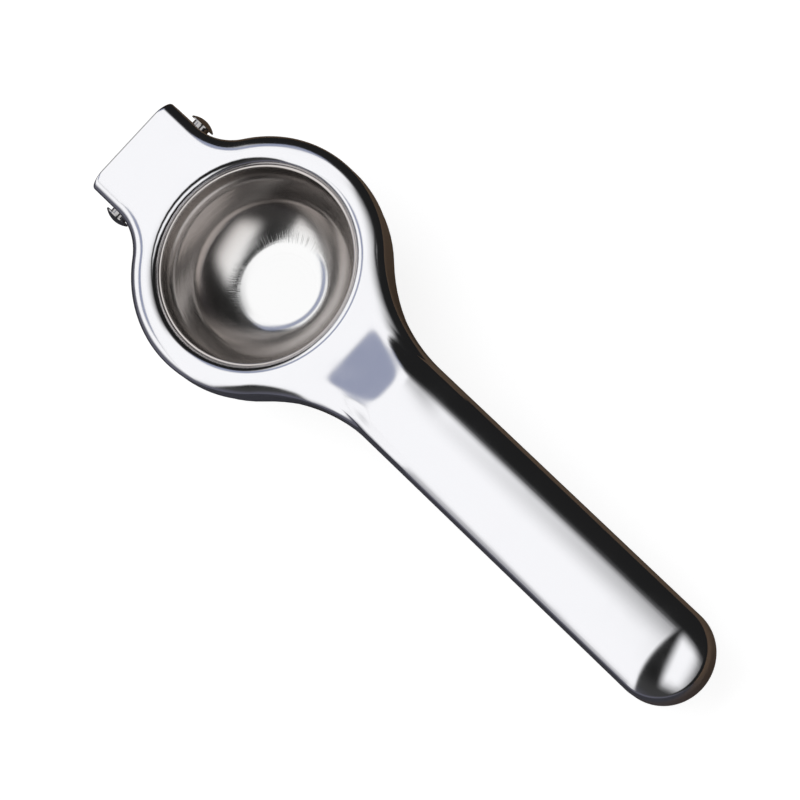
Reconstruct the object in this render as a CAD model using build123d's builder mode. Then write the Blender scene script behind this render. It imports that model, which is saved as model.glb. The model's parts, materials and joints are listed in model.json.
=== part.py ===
from build123d import *
from math import asin, atan, atan2, cos, degrees, hypot, radians, sin, sqrt
import os

# Hand lemon squeezer, closed: two stamped steel arms on one riveted pin, a press cup seated in the
# upper arm and a perforated strainer cup hung in the lower one. Millimetres.
# It is drawn with the cup axis on Z, the upper flange's top at Z = 0 and the grips along +X,
# and laid down at the end on the strainer's foot and the grip's underside.

# Plan of the closed tool
overall_length = 200.0
ring_diameter = 65.0
tab_length = 14.6
tab_width = 28.4
grip_width = 24.2
tab_hollow = 15.0
neck_hollow = 43.0

# Pressed sheet of both arms
sheet = 1.2
arm_depth = 7.2
edge_roll = 3.0
crown_rise = 3.0
rise_length = 22.0
rise_sink = 0.2
parting_gap = 0.4
lower_inset = 0.8
lower_setback = 2.5

# Turned-in collars that hold the cups
shoulder_roll = 2.0
collar_depth = 5.0
flange_land = 0.45
press_fit_gap = 0.02
strainer_fit_gap = 0.05

# Press cup, a bowl in two tiers with a flat floor
cup_gap = 0.6
press_wall = 0.8
press_rim_drop = 2.0
press_seat = 3.0
upper_tier_radius = 9.0
upper_tier_turn = 55.0
tier_bend = 1.8
lower_tier_radius = 18.4
lower_tier_start = 25.0
lower_tier_end = 66.6

# Strainer cup
strainer_wall = 1.0
strainer_corner = 12.0
strainer_rim_width = 1.9
strainer_rim_bend = 0.8
squeeze_gap = 6.0
drain_hole = 2.8
drain_pitch = 4.8
drain_rings = 2
wall_drain_count = 18
wall_drain_offset = 4.0

# Hinge
pin_inset = 8.1
pin_diameter = 3.0
pin_fit_gap = 0.02
running_gap = 0.05
side_play = 0.05
lobe_radius = 4.6
tab_end_depth = 3.4
web_gap = 1.0
ear_hollow = 2.0
ear_root = 5.0
ear_washer = 0.4
ear_washer_width = 2.15
head_washer = 1.0
head_washer_width = 0.75
head_overhang = 1.9
head_height = 1.5
head_edge = 0.35
spacer_wall = 0.95

# Length by which a cut runs past the sheet it goes through
overrun = 1.0


def bearing(angle):
    """Way of length one at an angle in degrees."""
    return Vector(cos(radians(angle)), sin(radians(angle)))


# Places that follow from the sizes above
ring_radius = ring_diameter / 2
tab_half = tab_width / 2
grip_half = grip_width / 2
tab_end = -ring_radius - tab_length
grip_axis_x = tab_end + overall_length - grip_half
neck_end = sqrt((ring_radius + neck_hollow) ** 2 - (grip_half + neck_hollow) ** 2)

roll_y = grip_half - edge_roll
crown_radius = edge_roll + (roll_y**2 + crown_rise**2) / (2 * crown_rise)
crown_centre_z = crown_rise - crown_radius
crown_side = roll_y / (crown_radius - edge_roll)
crown_lift = (-edge_roll - crown_centre_z) / (crown_radius - edge_roll)

rise_start = neck_end - rise_length
rise_height = crown_rise + rise_sink
rise_turn = 2 * atan(rise_height / rise_length)
rise_radius = rise_length / (2 * sin(rise_turn))
crest_z = crown_rise - rise_radius
valley_z = crest_z + 2 * rise_radius * cos(rise_turn)

parting_z = -arm_depth - parting_gap / 2
parting = Plane.XY.offset(parting_z)
pin_x = tab_end + pin_inset
pin_z = parting_z
pin_radius = pin_diameter / 2
cheek_inner = tab_half - sheet
ear_half = cheek_inner - ear_washer - 2 * side_play
ear_inner = ear_half - sheet
web_end = pin_x + web_gap
washer_seat = tab_half + side_play
head_seat = washer_seat + head_washer

strainer_bore = ring_radius - edge_roll - flange_land - shoulder_roll
strainer_radius = strainer_bore - strainer_fit_gap
strainer_inner = strainer_radius - strainer_wall

press_radius = strainer_inner - cup_gap
press_inner = press_radius - press_wall
press_bore = press_radius + press_fit_gap
press_lip_z = -press_rim_drop
seat_end_z = press_lip_z - press_seat
upper_tier = Vector(press_inner - upper_tier_radius, seat_end_z)
bend_reach = upper_tier_radius + tier_bend
tier_crease = upper_tier + bend_reach * bearing(-upper_tier_turn)
lower_tier = tier_crease - (lower_tier_radius + tier_bend) * bearing(-lower_tier_start)
press_floor_z = (lower_tier + lower_tier_radius * bearing(-lower_tier_end)).Y

strainer_seat_z = 2 * parting_z + collar_depth
strainer_rim_z = strainer_seat_z + strainer_wall
strainer_floor_z = press_floor_z - press_wall - squeeze_gap
foot_z = strainer_floor_z - strainer_wall
foot_radius = strainer_inner - strainer_corner


def arm_plan(half, end, hollow, inset):
    """Plan of an arm from its hinge end to the end of the neck."""
    hollow_x = -sqrt((ring_radius + hollow) ** 2 - (half + hollow) ** 2)
    hollow_y = half + hollow
    neck_y = grip_half + neck_hollow
    on_tab = (ring_radius - inset) / (ring_radius + hollow)
    on_neck = (ring_radius - inset) / (ring_radius + neck_hollow)
    with BuildSketch() as plan:
        with BuildLine():
            cut = Line((end, 0), (end, half - inset))
            side = Line(cut @ 1, (hollow_x, half - inset))
            corner = TangentArc(side @ 1, (hollow_x * on_tab, hollow_y * on_tab), tangent=side % 1)
            ring = TangentArc(corner @ 1, (neck_end * on_neck, neck_y * on_neck), tangent=corner % 1)
            neck = TangentArc(ring @ 1, (neck_end, grip_half - inset), tangent=ring % 1)
            Line(neck @ 1, (neck_end, 0))
            mirror(about=Plane.XZ)
        make_face()
    return plan.sketch


def crown_edge(inset):
    """Point of the grip's section where the crown runs into the side roll."""
    reach = crown_radius - inset
    return (reach * crown_side, crown_centre_z + reach * crown_lift)


def grip_half_section(inset, rim_z):
    """Half of the grip's section, from its middle to its side wall."""
    wall_y = grip_half - inset
    with BuildSketch() as section:
        with BuildLine():
            wall = Line((wall_y, rim_z), (wall_y, -edge_roll))
            roll = TangentArc(wall @ 1, crown_edge(inset), tangent=wall % 1)
            crown = TangentArc(roll @ 1, (0, crown_rise - inset), tangent=roll % 1)
            Polyline(crown @ 1, (0, rim_z), wall @ 0)
        make_face()
    return section.sketch


def crown_section(inset):
    """Section of the crown alone, cut off level with the side roll's centre."""
    edge = crown_edge(inset)
    with BuildSketch() as section:
        with BuildLine():
            crown = TangentArc((0, crown_rise - inset), edge, tangent=(1, 0))
            Polyline(crown @ 1, (edge[0], -edge_roll), (0, -edge_roll), crown @ 0)
        make_face()
        mirror(about=Plane.YZ)
    return section.sketch


def across(x, z=0.0):
    """Plane square to the arm at x, with its own X to the side and its Y up."""
    return Plane((x, 0, z), x_dir=(0, 1, 0), z_dir=(1, 0, 0))


def arm_form(half, end, hollow, grip_end, inset, rim_z):
    """Solid under an arm's outer skin, or under its inner skin when inset by the sheet."""
    with BuildPart() as form:
        # Tab, ring and neck, with the top edge rolled over along both sides
        with BuildSketch(Plane.XY.offset(-inset)):
            add(arm_plan(half, end, hollow, inset))
        extrude(amount=rim_z + inset)
        sides = form.faces().sort_by(Axis.Z)[-1].edges().filter_by(Axis.Y, reverse=True)
        fillet(sides, edge_roll - inset)
        # Grip with its domed end
        with BuildSketch(across(neck_end)):
            add(grip_half_section(inset, rim_z))
            mirror(about=Plane.YZ)
        extrude(amount=grip_end - neck_end)
        with BuildSketch(across(grip_end)):
            add(grip_half_section(inset, rim_z))
        revolve(axis=Axis((grip_end, 0, 0), (0, 0, -1)), revolution_arc=180)
        # Rise of the crown over the neck, a hollow arc and then a round one
        with BuildSketch(across(neck_end)):
            add(crown_section(inset))
        revolve(axis=Axis((neck_end, 0, crest_z), (0, -1, 0)), revolution_arc=degrees(rise_turn))
        with BuildSketch(across(rise_start, -rise_height)):
            add(crown_section(inset))
        revolve(axis=Axis((rise_start, 0, valley_z), (0, -1, 0)), revolution_arc=degrees(rise_turn))
    return form.part


def arm_shell(half, end, hollow, grip_end, bore, inset):
    """One pressed arm: its skin, and the collar turned in around the cup's bore."""
    mouth = bore + shoulder_roll
    roll_end_z = -inset - shoulder_roll
    with BuildPart() as shell:
        add(arm_form(half, end, hollow, grip_end, inset, -arm_depth))
        add(
            arm_form(half, end - overrun, hollow, grip_end, inset + sheet, -arm_depth - overrun),
            mode=Mode.SUBTRACT,
        )
        with BuildSketch(Plane.XY.offset(-inset)):
            Circle(mouth)
        extrude(amount=-sheet - overrun, mode=Mode.SUBTRACT)
        with BuildSketch(Plane.XZ):
            with BuildLine():
                shoulder = TangentArc((mouth, -inset), (bore, roll_end_z), tangent=(-1, 0))
                collar = Polyline(
                    shoulder @ 1,
                    (bore, -collar_depth),
                    (bore + sheet, -collar_depth),
                    (bore + sheet, roll_end_z),
                )
                under = TangentArc(collar @ 1, (mouth, -inset - sheet), tangent=(0, 1))
                Line(under @ 1, shoulder @ 0)
            make_face()
        revolve(axis=Axis.Z)
    return shell.part


# Upper arm: its tab straddles the lower ears and carries two lobes round the pin
end_x = tab_end - overrun
end_reach = hypot(end_x - pin_x, -tab_end_depth - pin_z)
end_bearing = atan2(-tab_end_depth - pin_z, end_x - pin_x)
touch_bearing = end_bearing + asin(sqrt(1 - (lobe_radius / end_reach) ** 2))
touch = (pin_x + lobe_radius * cos(touch_bearing), pin_z + lobe_radius * sin(touch_bearing))

with BuildPart() as upper_shell:
    add(arm_shell(tab_half, tab_end, tab_hollow, grip_axis_x, press_bore, 0))
    with BuildSketch(Plane.XZ) as lobe:
        with Locations((pin_x, pin_z)):
            Circle(lobe_radius)
    extrude(amount=tab_half, both=True)
    extrude(lobe.sketch, amount=cheek_inner, both=True, mode=Mode.SUBTRACT)
    with BuildSketch(Plane.XZ):
        with BuildLine():
            Polyline(
                (end_x, -tab_end_depth),
                touch,
                (touch[0], pin_z - lobe_radius),
                (end_x, pin_z - lobe_radius),
                close=True,
            )
        make_face()
    extrude(amount=tab_half + overrun, both=True, mode=Mode.SUBTRACT)
    with BuildSketch(Plane.XZ):
        with Locations((pin_x, pin_z)):
            Circle(pin_radius + running_gap)
    extrude(amount=tab_half + overrun, both=True, mode=Mode.SUBTRACT)


def press_form(grow):
    """Solid inside the press cup's hollow, or inside its outer skin when grown by the wall."""
    floor_z = press_floor_z - grow
    floor_reach = lower_tier_radius + grow
    floor_x = lower_tier.X + sqrt(floor_reach**2 - (lower_tier.Y - floor_z) ** 2)
    bend_start = tier_crease - (tier_bend - grow) * bearing(-upper_tier_turn)
    bend_end = tier_crease - (tier_bend - grow) * bearing(-lower_tier_start)
    with BuildPart() as form:
        with BuildSketch(Plane.XZ):
            with BuildLine():
                seat = Line((press_inner + grow, press_lip_z), (press_inner + grow, seat_end_z))
                upper = TangentArc(seat @ 1, bend_start, tangent=seat % 1)
                bend = TangentArc(upper @ 1, bend_end, tangent=upper % 1)
                lower = TangentArc(bend @ 1, (floor_x, floor_z), tangent=bend % 1)
                Polyline(lower @ 1, (0, floor_z), (0, press_lip_z), seat @ 0)
            make_face()
        revolve(axis=Axis.Z)
    return form.part


# Press cup: straight seat in the collar, round upper tier, bend, lower tier and flat floor
with BuildPart() as press_cup:
    add(press_form(press_wall))
    add(press_form(0), mode=Mode.SUBTRACT)

# Lower arm: a slightly smaller pressing turned over, with a narrow tab ending in two ears
lower_grip_end = grip_axis_x - lower_setback
with BuildPart() as lower_shell:
    ear_plan = ear_half + lower_inset
    pressing = arm_shell(ear_plan, web_end, ear_hollow, lower_grip_end, strainer_bore, lower_inset)
    mirror(pressing, about=parting)
    ear_low = 2 * parting_z + edge_roll
    ear_high = parting_z - parting_gap / 2
    with BuildSketch(Plane.XZ) as ear:
        with Locations((pin_x, pin_z)):
            Circle(lobe_radius)
        with Locations((web_end + ear_root / 2, (ear_low + ear_high) / 2)):
            Rectangle(ear_root, ear_high - ear_low)
        make_hull()
    extrude(amount=ear_half, both=True)
    extrude(ear.sketch, amount=ear_inner, both=True, mode=Mode.SUBTRACT)
    with BuildSketch(Plane.XZ):
        with Locations((pin_x, pin_z)):
            Circle(pin_radius + pin_fit_gap)
    extrude(amount=ear_half + overrun, both=True, mode=Mode.SUBTRACT)

# Strainer cup: hung by its rim on the lower collar, with drain holes in its floor and lower wall
rim_edge = strainer_radius + strainer_rim_width
with BuildPart() as strainer_cup:
    with BuildSketch(Plane.XZ):
        with BuildLine():
            rim = Line((rim_edge, strainer_rim_z), (strainer_inner + strainer_rim_bend, strainer_rim_z))
            turn = TangentArc(
                rim @ 1, (strainer_inner, strainer_rim_z - strainer_rim_bend), tangent=rim % 1
            )
            side = Line(turn @ 1, (strainer_inner, strainer_floor_z + strainer_corner))
            corner = TangentArc(side @ 1, (foot_radius, strainer_floor_z), tangent=side % 1)
            Polyline(corner @ 1, (0, strainer_floor_z), (0, foot_z), (foot_radius, foot_z))
            outside = TangentArc(
                (foot_radius, foot_z),
                (strainer_radius, strainer_floor_z + strainer_corner),
                tangent=(1, 0),
            )
            Polyline(
                outside @ 1,
                (strainer_radius, strainer_seat_z),
                (rim_edge, strainer_seat_z),
                rim @ 0,
            )
        make_face()
    revolve(axis=Axis.Z)
    with BuildSketch(Plane.XY.offset(foot_z)):
        Circle(drain_hole / 2)
        for step in range(1, drain_rings + 1):
            with PolarLocations(step * drain_pitch, 6 * step):
                Circle(drain_hole / 2)
        with PolarLocations(foot_radius + wall_drain_offset, wall_drain_count):
            Circle(drain_hole / 2)
    extrude(amount=strainer_wall + strainer_corner, mode=Mode.SUBTRACT)

# Hinge pin: one shank with a domed rivet head at each end
head_x = pin_x + pin_radius + head_overhang
with BuildPart() as hinge_pin:
    with BuildSketch(Plane.XZ):
        with Locations((pin_x, pin_z)):
            Circle(pin_radius)
    extrude(amount=head_seat, both=True)
    with BuildSketch(Plane.XY.offset(pin_z)):
        with BuildLine():
            face = Polyline(
                (pin_x, head_seat + head_height),
                (pin_x, head_seat),
                (head_x, head_seat),
                (head_x, head_seat + head_edge),
            )
            TangentArc(face @ 0, face @ 1, tangent=(1, 0))
        make_face()
    revolve(axis=Axis((pin_x, 0, pin_z), (0, 1, 0)))
    mirror(about=Plane.XZ)


washer_bore = pin_radius + running_gap


def rings_on_pin(start, length, width):
    """Two like rings on the pin, one each side, from start outwards."""
    with BuildPart() as rings:
        with BuildSketch(Plane.XZ.offset(start)):
            with Locations((pin_x, pin_z)):
                Circle(washer_bore + width)
                Circle(washer_bore, mode=Mode.SUBTRACT)
        extrude(amount=length)
        mirror(about=Plane.XZ)
    return rings


# Washers under the rivet heads, and between the ears and the upper tab's cheeks
head_washers = rings_on_pin(washer_seat, head_washer, head_washer_width)
ear_washers = rings_on_pin(ear_half + side_play, ear_washer, ear_washer_width)

# Spacer tube that keeps the two ears apart
with BuildPart() as hinge_spacer:
    with BuildSketch(Plane.XZ):
        with Locations((pin_x, pin_z)):
            Circle(washer_bore + spacer_wall)
            Circle(washer_bore, mode=Mode.SUBTRACT)
    extrude(amount=ear_inner - side_play, both=True)

pieces = {
    "upper_shell": upper_shell,
    "press_cup": press_cup,
    "lower_shell": lower_shell,
    "strainer_cup": strainer_cup,
    "hinge_pin": hinge_pin,
    "hinge_spacer": hinge_spacer,
    "head_washers": head_washers,
    "ear_washers": ear_washers,
}

# Laid down: the grips drop until the strainer's round corner and the grip's round underside touch
# one level, and the origin is then the middle of the tool's outline on that level
under_grip_z = 2 * parting_z - crown_centre_z
span = lower_grip_end - foot_radius
climb = under_grip_z - strainer_floor_z - strainer_corner
rounder = crown_radius - lower_inset - strainer_corner - strainer_wall
lie_down = atan2(climb, span) - asin(rounder / hypot(span, climb))
turn_down = Rotation(0, degrees(lie_down), 0)
turned = Compound(children=[turn_down * piece.part for piece in pieces.values()])
outline = turned.bounding_box()
rest = Pos(-outline.center().X, 0, -outline.min.Z) * turn_down

os.makedirs("parts", exist_ok=True)
for name, piece in pieces.items():
    piece.part.move(rest)
    piece.part.label = name
    export_step(piece.part, f"parts/{name}.step")
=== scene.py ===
from itertools import chain
from math import asin, atan2, cos, hypot, pi, radians, sin, sqrt
import json

import bpy
from mathutils import Matrix, Vector


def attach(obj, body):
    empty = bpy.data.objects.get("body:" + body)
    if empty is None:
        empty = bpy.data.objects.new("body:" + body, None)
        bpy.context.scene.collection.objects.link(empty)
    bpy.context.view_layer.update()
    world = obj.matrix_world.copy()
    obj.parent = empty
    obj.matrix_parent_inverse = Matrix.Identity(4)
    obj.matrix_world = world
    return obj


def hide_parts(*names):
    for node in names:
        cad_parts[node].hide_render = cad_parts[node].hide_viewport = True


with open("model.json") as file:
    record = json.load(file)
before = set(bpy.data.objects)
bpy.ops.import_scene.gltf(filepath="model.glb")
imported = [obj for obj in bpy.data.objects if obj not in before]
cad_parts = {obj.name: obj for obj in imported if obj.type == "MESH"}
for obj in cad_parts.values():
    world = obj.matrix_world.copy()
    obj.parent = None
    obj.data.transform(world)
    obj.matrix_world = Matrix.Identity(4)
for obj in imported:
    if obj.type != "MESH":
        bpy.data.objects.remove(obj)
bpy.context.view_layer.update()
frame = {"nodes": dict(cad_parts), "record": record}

# The tool is drawn in millimetres, with the cups' axis on Z, the top of the upper flange at Z = 0
# and the grips along +X. It is then laid down as it rests, on the strainer's corner and the grip.
MM = 0.001
foot_depth = 29.997

# Plan of the upper arm
ring_radius = 32.5
tab_end = -47.1
tab_half = 14.2
tab_hollow = 15.0
tab_corner = 1.0
neck_hollow = 43.0
grip_half = 12.1
grip_axis = 140.8
neck_end = sqrt((ring_radius + neck_hollow) ** 2 - (grip_half + neck_hollow) ** 2)

# Pressed sheet: ring and tab have a soft edge that turns tightly into the wall, the grip a crown
sheet = 1.2
arm_depth = 7.2
soft_edge = 5.1
tight_edge = 0.9
edge_turn = radians(47)
grip_roll = 3.0
crown_rise = 3.0
collar_depth = 5.0
flange_land = 0.3
shoulder_drop = 2.0
cut_edge = 0.2

# Neck: the flange climbs to the crown on a flat, whose sides are fuller than the crown's until it fades
rise_start = 31.0
rise_end = 51.6
ease_in = 5.0
ease_out = 2.4
flat_edge = 0.5
flat_end = 41.0
flat_fade = 20.0
flat_fullness = 1.36
flat_lead = 0.1

# Hinge: the tab's wall has a lobe round the pin and slopes up from it to the tab's end
pin_x = -39.0
pin_z = -7.4
lobe_radius = 4.6
tab_end_depth = 3.4
slope_overrun = 1.0

# Press cup: a short seat in the collar, then bends with a radius, a first and a last slope in degrees
press_bore = 25.42
press_radius = 25.4
press_wall = 0.8
press_lip = -2.0
press_seat = 3.0
press_bends = ((9.0, 90, 62), (9.0, 62, 45), (26.0, 45, 26), (8.5, 26, 0))
upper_run = 5.5
lip_edge = 0.3

# Rows of points: how many each stretch of a piece gets
corner_steps = 8
tab_steps = 32
hollow_steps = 12
ring_steps = 56
neck_steps = 40
neck_split = 0.3
grip_steps = 44
dome_steps = 28
wall_rows = 4
roll_rows = 14
tight_share = 0.4
top_rows = 16
shoulder_steps = 12
cup_steps = 160
seat_steps = 4
bend_steps = 24
run_steps = 8
floor_steps = 20
lip_steps = 5

# Evening out of the neck's heights: turns, reach past the rise, and edge rows that stay as drawn
easing_turns = 12
easing_lead = 1.0
easing_tail = 14.0
easing_fade = 4.0
kept_edge_rows = 3

# How close two points are merged, and how sharp a crease stays one
seam_gap = 0.005
mirror_gap = 0.01
mouth_margin = 0.002
pole_gap = 0.001
bevel_from = radians(60)
crease_from = radians(40)

mount = frame["record"]["mounts"][0]
up = -Vector(mount["axis"]).normalized()
side = Vector((0, 1, 0))
laid = Matrix((side.cross(up), side, up)).transposed().to_4x4()
laid.translation = Vector(mount["pos_m"]) + up * foot_depth * MM
laid_in_mm = laid @ Matrix.Scale(MM, 4)


def along(start, end, steps):
    """Evenly spaced values from start up to end, without end."""
    return [start + (end - start) * step / steps for step in range(steps)]


def ray(angle):
    return Vector((cos(angle), sin(angle)))


crown_reach = grip_half - grip_roll
crown_radius = grip_roll + (crown_reach**2 + crown_rise**2) / (2 * crown_rise)
crown_side = crown_reach * crown_radius / (crown_radius - grip_roll)
edge_reach = soft_edge * sin(edge_turn) + tight_edge * (1 - sin(edge_turn))
edge_drop = soft_edge * (1 - cos(edge_turn)) + tight_edge * cos(edge_turn)
mouth = ring_radius - edge_reach - flange_land


def flange_edge(share):
    """How far in and how high the ring's edge is, from the wall to the top."""
    if share < tight_share:
        angle = pi / 2 + (edge_turn - pi / 2) * share / tight_share
        return tight_edge * (1 - sin(angle)), tight_edge * cos(angle) - edge_drop
    angle = edge_turn * (1 - share) / (1 - tight_share)
    return edge_reach - soft_edge * sin(angle), -soft_edge * (1 - cos(angle))


def grip_edge(share):
    """How far in and how high the grip's side roll is, from the wall to the crown."""
    top = asin(crown_side / crown_radius)
    angle = pi / 2 + (top - pi / 2) * share
    return grip_roll * (1 - sin(angle)), grip_roll * (cos(angle) - 1)


def crown_height(share):
    """Height of the grip's crown at a share of the way out to its side roll."""
    return crown_rise - crown_radius + sqrt(crown_radius**2 - (share * crown_side) ** 2)


def ramp(x):
    """Share of the crown's rise reached at x: an even slope, eased at both ends."""
    into = min(max(x - rise_start, 0.0), ease_in)
    out = min(max(x - rise_end + ease_out, 0.0), ease_out)
    run = min(max(x - rise_start - ease_in, 0.0), rise_end - ease_out - rise_start - ease_in)
    climbed = into**2 / (2 * ease_in) + run + out - out**2 / (2 * ease_out)
    return climbed / (rise_end - rise_start - ease_in / 2 - ease_out / 2)


def top_height(x, share):
    """The flat that slopes up to the grip, rounded off where the crown's sides cut it."""
    done = min(max((x - flat_end) / flat_fade, 0.0), 1.0)
    fade = done * done * (3 - 2 * done)
    fullness = flat_fullness + (1 - flat_fullness) * fade
    lead = (1 - share) ** 2 / ((1 - share) ** 2 + flat_lead**2)
    steepness = ramp(x) + lead * (sqrt(ramp(x)) * fullness - ramp(x))
    flank = ramp(x) * crown_height(1) + steepness * (crown_height(share) - crown_height(1))
    flat = ramp(x) * crown_rise
    rounding = flat_edge * sqrt(ramp(x)) * (1 - fade)
    near = max(rounding - abs(flat - flank), 0.0)
    return min(flat, flank) - (near**2 / (4 * rounding) if near else 0.0)


def stations():
    """Places round half the arm: a point of the outline, the way in, and where a row across ends."""
    hollow_x = -sqrt((ring_radius + tab_hollow) ** 2 - (tab_half + tab_hollow) ** 2)
    hollow_centre = Vector((hollow_x, tab_half + tab_hollow))
    neck_centre = Vector((neck_end, grip_half + neck_hollow))
    into_ring = atan2(hollow_centre.y, hollow_centre.x)
    out_of_ring = atan2(neck_centre.y, neck_centre.x)
    places = []
    for angle in along(0, pi / 2, corner_steps):
        corner = Vector((tab_end + tab_corner, tab_half - tab_corner)) + tab_corner * ray(pi - angle)
        places.append((corner, Vector((0, -1)), Vector((corner.x, 0))))
    for x in along(tab_end + tab_corner, hollow_x, tab_steps):
        places.append((Vector((x, tab_half)), Vector((0, -1)), Vector((x, 0))))
    for step in range(hollow_steps):
        share = step / hollow_steps
        way = ray(-pi / 2 + share * (into_ring - pi / 2))
        if share < 0.5:
            inner = Vector((hollow_x + (-mouth - hollow_x) * 2 * share, 0))
        else:
            inner = mouth * ray(pi + (into_ring - pi) * (2 * share - 1))
        places.append((hollow_centre + tab_hollow * way, way, inner))
    for angle in along(into_ring, out_of_ring, ring_steps):
        places.append((ring_radius * ray(angle), -ray(angle), mouth * ray(angle)))
    for step in range(neck_steps):
        share = step / neck_steps
        way = ray(out_of_ring - pi + share * (pi / 2 - out_of_ring))
        if share < neck_split:
            inner = mouth * ray(out_of_ring * (1 - share / neck_split))
        else:
            reached = (share - neck_split) / (1 - neck_split)
            inner = Vector((mouth + (neck_end - mouth) * reached, 0))
        places.append((neck_centre + neck_hollow * way, way, inner))
    for x in along(neck_end, grip_axis, grip_steps):
        places.append((Vector((x, grip_half)), Vector((0, -1)), Vector((x, 0))))
    dome = Vector((grip_axis, 0))
    for step in range(dome_steps + 1):
        way = ray(pi / 2 * (1 - step / dome_steps))
        places.append((dome + grip_half * way, -way, dome))
    return places


slope_head = Vector((tab_end - slope_overrun, -tab_end_depth))
pin = Vector((pin_x, pin_z))
to_head = slope_head - pin
slope_bearing = atan2(to_head.y, to_head.x) + asin(sqrt(1 - (lobe_radius / to_head.length) ** 2))
slope_foot = pin + lobe_radius * ray(slope_bearing)


def upper_rim(x):
    """Height of the wall's lower rim: level, with the lobe round the pin and the slope to the end."""
    if x > pin_x + lobe_radius:
        return -arm_depth
    if x > slope_foot.x:
        lobe_floor = pin_z - sqrt(max(lobe_radius**2 - (x - pin_x) ** 2, 0.0))
        return min(lobe_floor, -arm_depth)
    share = (x - slope_head.x) / (slope_foot.x - slope_head.x)
    return slope_head.y + share * (slope_foot.y - slope_head.y)


def arm_row(place, rim):
    """One row of points from the rim up the wall, over the edge and across the top."""
    outline, way, inner = place
    edge = []
    for step in range(roll_rows + 1):
        flange, grip = flange_edge(step / roll_rows), grip_edge(step / roll_rows)
        point = outline + way * (flange[0] + ramp(outline.x) * (grip[0] - flange[0]))
        height = flange[1] + ramp(point.x) * (grip[1] - flange[1])
        edge.append(Vector((point.x, point.y, height)))
    row = [outline.to_3d() + Vector((0, 0, z)) for z in along(rim, edge[0].z, wall_rows)]
    row.extend(edge)
    for step in range(1, top_rows + 1):
        point = edge[-1].xy.lerp(inner, step / top_rows)
        row.append(Vector((point.x, point.y, top_height(point.x, 1 - step / top_rows))))
    return row


def eased(rows):
    """Evens out the heights a little where the neck rises to the grip."""
    result = [[point.copy() for point in row] for row in rows]
    first = wall_rows + kept_edge_rows
    for before, row, after, changed in zip(rows, rows[1:], rows[2:], result[1:]):
        for index in range(first, len(row)):
            begun = max(row[index].x - rise_start + easing_lead, 0.0)
            left = max(rise_end + easing_tail - row[index].x, 0.0)
            share = min(begun, left, easing_fade) / easing_fade
            share *= min((index - first + 1) / (roll_rows - kept_edge_rows + 1), 1.0)
            inward = row[index + 1] if index + 1 < len(row) else row[index - 1]
            mean = (before[index].z + after[index].z + row[index - 1].z + inward.z) / 4
            changed[index].z += share / 2 * (mean - row[index].z)
    return result


def deselect():
    for item in bpy.context.selected_objects:
        item.select_set(False)


def laid_over(name, rows):
    """A flat grid whose points are moved onto the rows given."""
    deselect()
    bpy.ops.mesh.primitive_grid_add(x_subdivisions=len(rows[0]) - 1, y_subdivisions=len(rows) - 1)
    piece = bpy.context.object
    piece.name = piece.data.name = name
    for vertex, point in zip(piece.data.vertices, chain.from_iterable(rows)):
        vertex.co = point
    return piece


def modified(piece, kind, **settings):
    """Adds a modifier and applies it."""
    modifier = piece.modifiers.new(kind.title(), kind)
    for key, value in settings.items():
        setattr(modifier, key, value)
    bpy.ops.object.modifier_apply(modifier=modifier.name)


def pick_rim(piece, wanted):
    """Selects, in edit mode, the open edges both of whose ends are wanted."""
    bpy.ops.object.mode_set(mode="EDIT")
    bpy.ops.mesh.select_mode(type="EDGE")
    bpy.ops.mesh.select_all(action="DESELECT")
    bpy.ops.mesh.select_non_manifold(
        use_wire=False, use_multi_face=False, use_non_contiguous=False, use_verts=False
    )
    bpy.ops.object.mode_set(mode="OBJECT")
    points = piece.data.vertices
    for edge in piece.data.edges:
        edge.select = edge.select and all(wanted(points[index].co) for index in edge.vertices)
    bpy.ops.object.mode_set(mode="EDIT")


def draw_in(narrowing, drop):
    """Extrudes the picked ring of edges downwards and narrows it."""
    bpy.ops.mesh.extrude_region_move(TRANSFORM_OT_translate={"value": (0, 0, drop)})
    bpy.ops.transform.resize(value=(narrowing, narrowing, 1), center_override=(0, 0, 0))


def arm(name):
    """The pressed arm: half its skin laid out, mirrored, its collar drawn in, the sheet thickened."""
    rows = [arm_row(place, upper_rim(place[0].x)) for place in stations()]
    for _ in range(easing_turns):
        rows = eased(rows)
    piece = laid_over(name, rows)
    bpy.ops.object.mode_set(mode="EDIT")
    bpy.ops.mesh.select_all(action="SELECT")
    bpy.ops.mesh.remove_doubles(threshold=seam_gap)
    bpy.ops.object.mode_set(mode="OBJECT")
    modified(piece, "MIRROR", use_axis=(False, True, False), merge_threshold=mirror_gap)
    pick_rim(piece, lambda point: abs(hypot(point.x, point.y) - mouth) < mouth_margin)
    radius, height = mouth, 0.0
    for step in range(1, shoulder_steps + 1):
        angle = pi / 2 * step / shoulder_steps
        next_radius = mouth - (mouth - press_bore) * sin(angle)
        next_height = -shoulder_drop * (1 - cos(angle))
        draw_in(next_radius / radius, next_height - height)
        radius, height = next_radius, next_height
    draw_in(1.0, -collar_depth - height)
    bpy.ops.mesh.select_all(action="SELECT")
    bpy.ops.mesh.normals_make_consistent(inside=False)
    bpy.ops.object.mode_set(mode="OBJECT")
    modified(piece, "SOLIDIFY", thickness=sheet, offset=-1, use_even_offset=True)
    modified(piece, "BEVEL", width=cut_edge, segments=2, limit_method="ANGLE", angle_limit=bevel_from)
    return piece


def arc(centre, radius, start, end, steps):
    """Points of an arc from start to end, without the last."""
    return [centre + radius * ray(angle) for angle in along(start, end, steps)]


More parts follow.
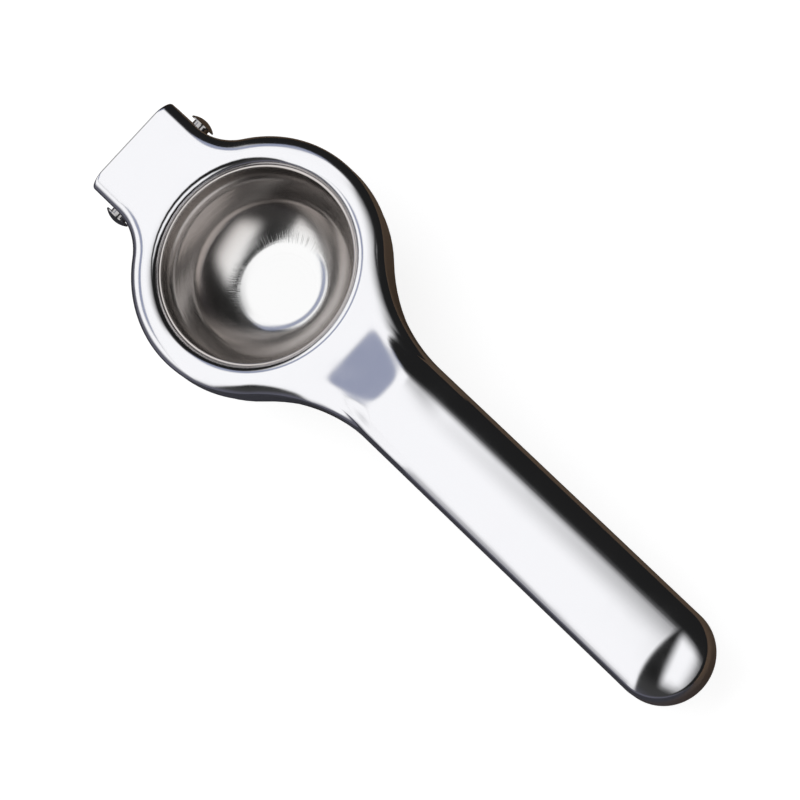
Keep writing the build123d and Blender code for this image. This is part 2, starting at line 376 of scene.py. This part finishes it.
def cup(name):
    """The press cup: its section, from the floor's middle up the inside and down the outside, spun."""
    inside, outside = press_radius - press_wall, press_radius
    point = Vector((inside, press_lip - press_seat))
    walk = [(Vector((inside, z)), pi / 2) for z in along(press_lip - lip_edge, point.y, seat_steps)]
    for index, (bend, start, end) in enumerate(press_bends):
        centre = point - bend * ray(radians(start - 90))
        for slope in along(radians(start), radians(end), bend_steps):
            walk.append((centre + bend * ray(slope - pi / 2), slope))
        point = centre + bend * ray(radians(end - 90))
        if index == 0:
            onward = point + upper_run * ray(radians(end + 180))
            for step in range(run_steps):
                walk.append((point.lerp(onward, step / run_steps), radians(end)))
            point = onward
    walk.extend((Vector((x, point.y)), 0.0) for x in along(point.x, 0, floor_steps))
    walk.append((Vector((0, point.y)), 0.0))

    def skin(grow):
        return [point + grow * ray(slope - pi / 2) for point, slope in walk]

    lip = arc(Vector((inside + lip_edge, press_lip - lip_edge)), lip_edge, pi, pi / 2, lip_steps)
    lip += arc(Vector((outside - lip_edge, press_lip - lip_edge)), lip_edge, pi / 2, 0, lip_steps)
    section = list(reversed(skin(0))) + lip + skin(press_wall)
    deselect()
    bpy.ops.mesh.primitive_circle_add(vertices=len(section))
    piece = bpy.context.object
    piece.name = piece.data.name = name
    for vertex, point in zip(piece.data.vertices, section):
        vertex.co = (point.x, 0, point.y)
    bpy.ops.object.mode_set(mode="EDIT")
    bpy.ops.mesh.select_all(action="SELECT")
    bpy.ops.mesh.spin(steps=cup_steps, angle=2 * pi, center=(0, 0, 0), axis=(0, 0, 1))
    bpy.ops.mesh.select_all(action="SELECT")
    bpy.ops.mesh.remove_doubles(threshold=pole_gap)
    bpy.ops.mesh.delete_loose(use_verts=True, use_edges=True, use_faces=False)
    bpy.ops.mesh.select_all(action="SELECT")
    bpy.ops.mesh.normals_make_consistent(inside=False)
    bpy.ops.object.mode_set(mode="OBJECT")
    return piece


def finished(piece, body, node, material):
    """Lays the piece down, smooths it and hands it to its body."""
    piece.data.transform(laid_in_mm)
    bpy.ops.object.shade_smooth_by_angle(angle=crease_from)
    modified(piece, "WEIGHTED_NORMAL", keep_sharp=True, weight=50)
    piece.data.materials.append(material)
    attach(piece, body)
    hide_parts(node)


class Wire:
    """An output of a node. Arithmetic on it adds Math nodes."""

    def __init__(self, tree, socket=None):
        self.tree = tree
        self.socket = socket

    def make(self, kind, settings, sockets, output=0):
        """Adds a node with these settings, its inputs joined or set, and gives one of its outputs."""
        node = self.tree.nodes.new(kind)
        for key, value in settings.items():
            setattr(node, key, value)
        for key, value in sockets.items():
            if isinstance(value, Wire):
                self.tree.links.new(value.socket, node.inputs[key])
            else:
                node.inputs[key].default_value = value
        return Wire(self.tree, node.outputs[output])

    def math(self, operation, *values):
        return self.make("ShaderNodeMath", {"operation": operation}, dict(enumerate(values)))

    def __add__(self, other):
        return self.math("ADD", self, other)

    def __sub__(self, other):
        return self.math("SUBTRACT", self, other)

    def __rsub__(self, other):
        return self.math("SUBTRACT", other, self)

    def __mul__(self, other):
        return self.math("MULTIPLY", self, other)

    __radd__ = __add__
    __rmul__ = __mul__

    def step(self, low, high):
        """A smooth step from 0 at low to 1 at high."""
        limits = {"Value": self, "From Min": low, "From Max": high}
        return self.make("ShaderNodeMapRange", {"interpolation_type": "SMOOTHSTEP"}, limits)

    def band(self, low, rise, fall, high):
        """A soft band, 1 between rise and fall."""
        return self.step(low, rise) * (1 - self.step(fall, high))

    def blend(self, under, over):
        """Under where this is 0, over where it is 1."""
        return self.make("ShaderNodeMix", {"data_type": "RGBA"}, {0: self, 6: under, 7: over}, output=2)

    def parts(self):
        """The three parts of a vector."""
        split = self.make("ShaderNodeSeparateXYZ", {}, {0: self})
        return [Wire(self.tree, socket) for socket in split.socket.node.outputs]

    def turned_back(self, scale, place):
        """A direction or point of the laid tool, in the tool's own axes."""
        turn = laid.inverted().to_euler()
        sockets = {"Vector": self, "Rotation": turn, "Scale": scale, "Location": place}
        return self.make("ShaderNodeMapping", {"vector_type": "POINT"}, sockets)


def grey(level):
    return (level, level, level, 1)


def new_material(name):
    """A material with its Principled shader, and a wire to add nodes with."""
    material = bpy.data.materials.new(name)
    material.use_nodes = True
    return material, material.node_tree.nodes["Principled BSDF"], Wire(material.node_tree)


def tool_point(wire):
    """The shaded point in the tool's own axes, in millimetres."""
    coordinates = wire.make("ShaderNodeTexCoord", {}, {}, output="Object")
    return coordinates.turned_back((1 / MM, 1 / MM, 1 / MM), laid_in_mm.inverted().translation)


def noise(point, stretch, scale, detail):
    """Noise with its axes stretched."""
    spread = point.make("ShaderNodeMapping", {}, {"Vector": point, "Scale": stretch})
    return point.make("ShaderNodeTexNoise", {}, {"Vector": spread, "Scale": scale, "Detail": detail})


def ripples(value, scale):
    """Noise along a single value."""
    sockets = {"W": value, "Scale": scale, "Detail": 2.0}
    return value.make("ShaderNodeTexNoise", {"noise_dimensions": "1D"}, sockets)


def join(node, name, wire):
    wire.tree.links.new(wire.socket, node.inputs[name])


def bump(height, strength):
    sockets = {"Height": height, "Strength": strength, "Distance": relief * MM}
    return height.make("ShaderNodeBump", {}, sockets)


# Colours and depth of the steel's finishes, with painted shade in the tab's end line, the cup's walls
# and the rivet
mirror_steel = (0.82, 0.82, 0.845, 1)
painted_dark_edge = grey(0.3)
floor_steel = grey(0.86)
wall_tint_and_painted_shade = (0.58, 0.545, 0.525, 1)
rivet_painted_shade = (0.45, 0.44, 0.44, 1)
relief = 0.2

# Mirror-polished steel: fine polishing lines, a few smudges and painted shade, a thin dark line painted
# along the tab's cut end
polished, shader, wire = new_material("polished_steel")
point = tool_point(wire)
smudges = noise(point, (1, 1, 1), 0.09, 3.0).step(0.45, 0.75)
lines = noise(point, (0.03, 1.6, 1), 1.0, 4.0)
# Painted shade: the last fraction of a millimetre at the tab's end is painted dark
painted_edge_mask = point.parts()[0].step(tab_end + 0.2, tab_end + 0.4)
join(shader, "Base Color", painted_edge_mask.blend(painted_dark_edge, mirror_steel))
shader.inputs["Metallic"].default_value = 1
join(shader, "Roughness", 0.1 + smudges * 0.05)
join(shader, "Normal", bump(lines, 0.03))

# Satin steel of the cups: drawn bands round the wall, stretch marks at the floor's edge, and walls
# darker and warmer than the floor, partly the steel's tint and partly painted shade
satin, shader, wire = new_material("satin_steel")
point = tool_point(wire)
x, y, z = point.parts()
radius = wire.math("SQRT", x * x + y * y)
bands = ripples(radius - z, 1.2)
marks = ripples(wire.math("ARCTAN2", y, x), 44.0)
stretch = marks.step(0.5, 0.8) * radius.band(10.6, 11.6, 12.2, 14.5) * (1 - x.step(-4, 6))
grain = noise(point, (1, 1, 1), 6.0, 2.0)
# Painted shade: from the floor outwards the walls turn to a darker, warmer steel, partly tint and
# partly painted shade
join(shader, "Base Color", radius.step(10, 20).blend(floor_steel, wall_tint_and_painted_shade))
shader.inputs["Metallic"].default_value = 1
join(shader, "Roughness", 0.1 + radius.step(10, 13) * 0.05 + grain * 0.06)
join(shader, "Normal", bump(bands * 0.3 + stretch * 0.7 + grain * 0.15, 0.2))

# Steel of the rivet, the washers and the spacer, darkened with painted shade that stands in for dark
# reflections
rivet, shader, wire = new_material("rivet_steel")
shader.inputs["Base Color"].default_value = rivet_painted_shade
shader.inputs["Metallic"].default_value = 1
shader.inputs["Roughness"].default_value = 0.16

upper_arm = arm("upper_arm_pressing")
finished(upper_arm, "upper_arm", "upper_shell", polished)
press = cup("press_cup_bowl")
finished(press, "upper_arm", "press_cup", satin)

looks = {"lower_shell": polished, "strainer_cup": satin}
for name, node in frame["nodes"].items():
    node.data.materials.clear()
    node.data.materials.append(looks.get(name, rivet))

# Floor: white paper to the camera, with a faint shadow, and a dark table, brown on +Y, in the steel
floor_size = 4.0
paper_glow = 0.86
paper_shade = grey(0.42)
dark_table = (0.09, 0.09, 0.105, 1)
brown_table = (0.18, 0.125, 0.085, 1)
deselect()
bpy.ops.mesh.primitive_plane_add(size=floor_size)
floor = bpy.context.object
floor.name = "floor"
paper, shader, wire = new_material("pale_floor")
paper.node_tree.nodes.remove(shader)
seen_by_camera = wire.make("ShaderNodeLightPath", {}, {}, output="Is Camera Ray")
across = wire.make("ShaderNodeTexCoord", {}, {}, output="Object").parts()[1].step(-0.03, 0.02)
glow = wire.make("ShaderNodeEmission", {}, {"Color": grey(1), "Strength": paper_glow})
shade = wire.make("ShaderNodeBsdfDiffuse", {}, {"Color": paper_shade})
sheet_of_paper = wire.make("ShaderNodeAddShader", {}, {0: glow, 1: shade})
table = wire.make("ShaderNodeBsdfDiffuse", {}, {"Color": across.blend(dark_table, brown_table)})
either = wire.make("ShaderNodeMixShader", {}, {0: seen_by_camera, 1: table, 2: sheet_of_paper})
join(paper.node_tree.nodes["Material Output"], "Surface", either)
floor.data.materials.append(paper)

# Studio round the tool, by bearing in the tool's axes: pitch towards the grips, roll towards +Y.
# A grey wall stands past the hinge, with white screens over, under and beside it, and the rest is dark.
# Each pair of degrees is where one thing fades into the next.
panel_glow = 1.13
wall_grey = (0.34, 0.37, 0.49, 1)
dark_right, dark_left = grey(0.015), grey(0.05)
far_left = (0.12, 0.12, 0.15, 1)
wall_low, wall_high = (-52, -47), (-39, -35)
wall_left, wall_right = (-50, -36), (38, 46)
screen_left = (-80, -62)
world = bpy.data.worlds.new("studio")
bpy.context.scene.world = world
world.use_nodes = True
wire = Wire(world.node_tree)
bearing = wire.make("ShaderNodeTexCoord", {}, {}, output="Generated").turned_back((1, 1, 1), (0, 0, 0))
x, y, z = bearing.parts()
pitch = wire.math("DEGREES", wire.math("ARCTAN2", x, z))
roll = wire.math("DEGREES", wire.math("ARCTAN2", y, z))
wall = pitch.band(*wall_low, *wall_high) * roll.band(*wall_left, *wall_right)
over = pitch.band(*wall_high, -26, -18) * roll.band(*screen_left, 30, 42)
under = pitch.band(-88, -72, *wall_low) * roll.band(*screen_left, 10, 35)
beside = (1 - pitch.step(*wall_high)) * roll.band(*screen_left, *wall_left)
screens = wire.math("MAXIMUM", over, wire.math("MAXIMUM", under, beside))
colour = roll.step(-60, -30).blend(dark_left, dark_right)
colour = roll.step(-80, -60).blend(far_left, colour)
colour = wall.blend(colour, wall_grey)
colour = screens.blend(colour, grey(panel_glow))
background = world.node_tree.nodes["Background"]
join(background, "Color", colour)
background.inputs["Strength"].default_value = 1.0

# Two light panels over the tool, a little way apart
panel_height = 400.0


def panel(name, x_fade, y_fade, slant):
    """A glowing sheet, unseen by the camera, that fades in and out between the places given."""
    deselect()
    bpy.ops.mesh.primitive_plane_add(size=2)
    piece = bpy.context.object
    piece.name = piece.data.name = name
    low, high = Vector((x_fade[0], y_fade[0])), Vector((x_fade[-1], y_fade[-1]))
    middle, half = (low + high) / 2, (high - low) / 2
    half.x += abs(slant) * max(map(abs, y_fade))
    place = Matrix.Translation((*middle, panel_height)) @ Matrix.Diagonal((*half, 1, 1))
    piece.data.transform(laid_in_mm @ place)
    material, shader, wire = new_material(name)
    material.node_tree.nodes.remove(shader)
    x, y, z = tool_point(wire).parts()
    unseen = 1 - wire.make("ShaderNodeLightPath", {}, {}, output="Is Camera Ray")
    clear = wire.make("ShaderNodeBsdfTransparent", {}, {})
    glow = wire.make("ShaderNodeEmission", {}, {"Color": grey(1), "Strength": panel_glow})
    share = (x + slant * y).band(*x_fade) * y.band(*y_fade) * unseen
    either = wire.make("ShaderNodeMixShader", {}, {0: share, 1: clear, 2: glow})
    join(material.node_tree.nodes["Material Output"], "Surface", either)
    piece.data.materials.append(material)


panel("key_panel", (-290, -236, 15, 75), (-1900, -620, -40, 440), 0.0)
panel("second_panel", (170, 300, 420, 860), (-500, -150, 200, 420), 0.35)

# Camera at the photograph's viewing angle, given by how it sees the tool
camera_turn = (0.0325, -0.3856, -0.763)
camera_place = Vector((-35.25, 33.24, -1014.4)) * MM
camera_lens = 189.0
camera_reach = 10.0
seen = Matrix.Translation(camera_place)
for angle, axis in zip(reversed(camera_turn), "ZYX"):
    seen = seen @ Matrix.Rotation(angle, 4, axis)
camera = bpy.data.objects.new("camera", bpy.data.cameras.new("camera"))
bpy.context.scene.collection.objects.link(camera)
camera.matrix_world = laid @ seen.inverted()
camera.data.lens = camera_lens
camera.data.clip_end = camera_reach
bpy.context.scene.camera = camera
bpy.context.scene.view_settings.view_transform = "Standard"
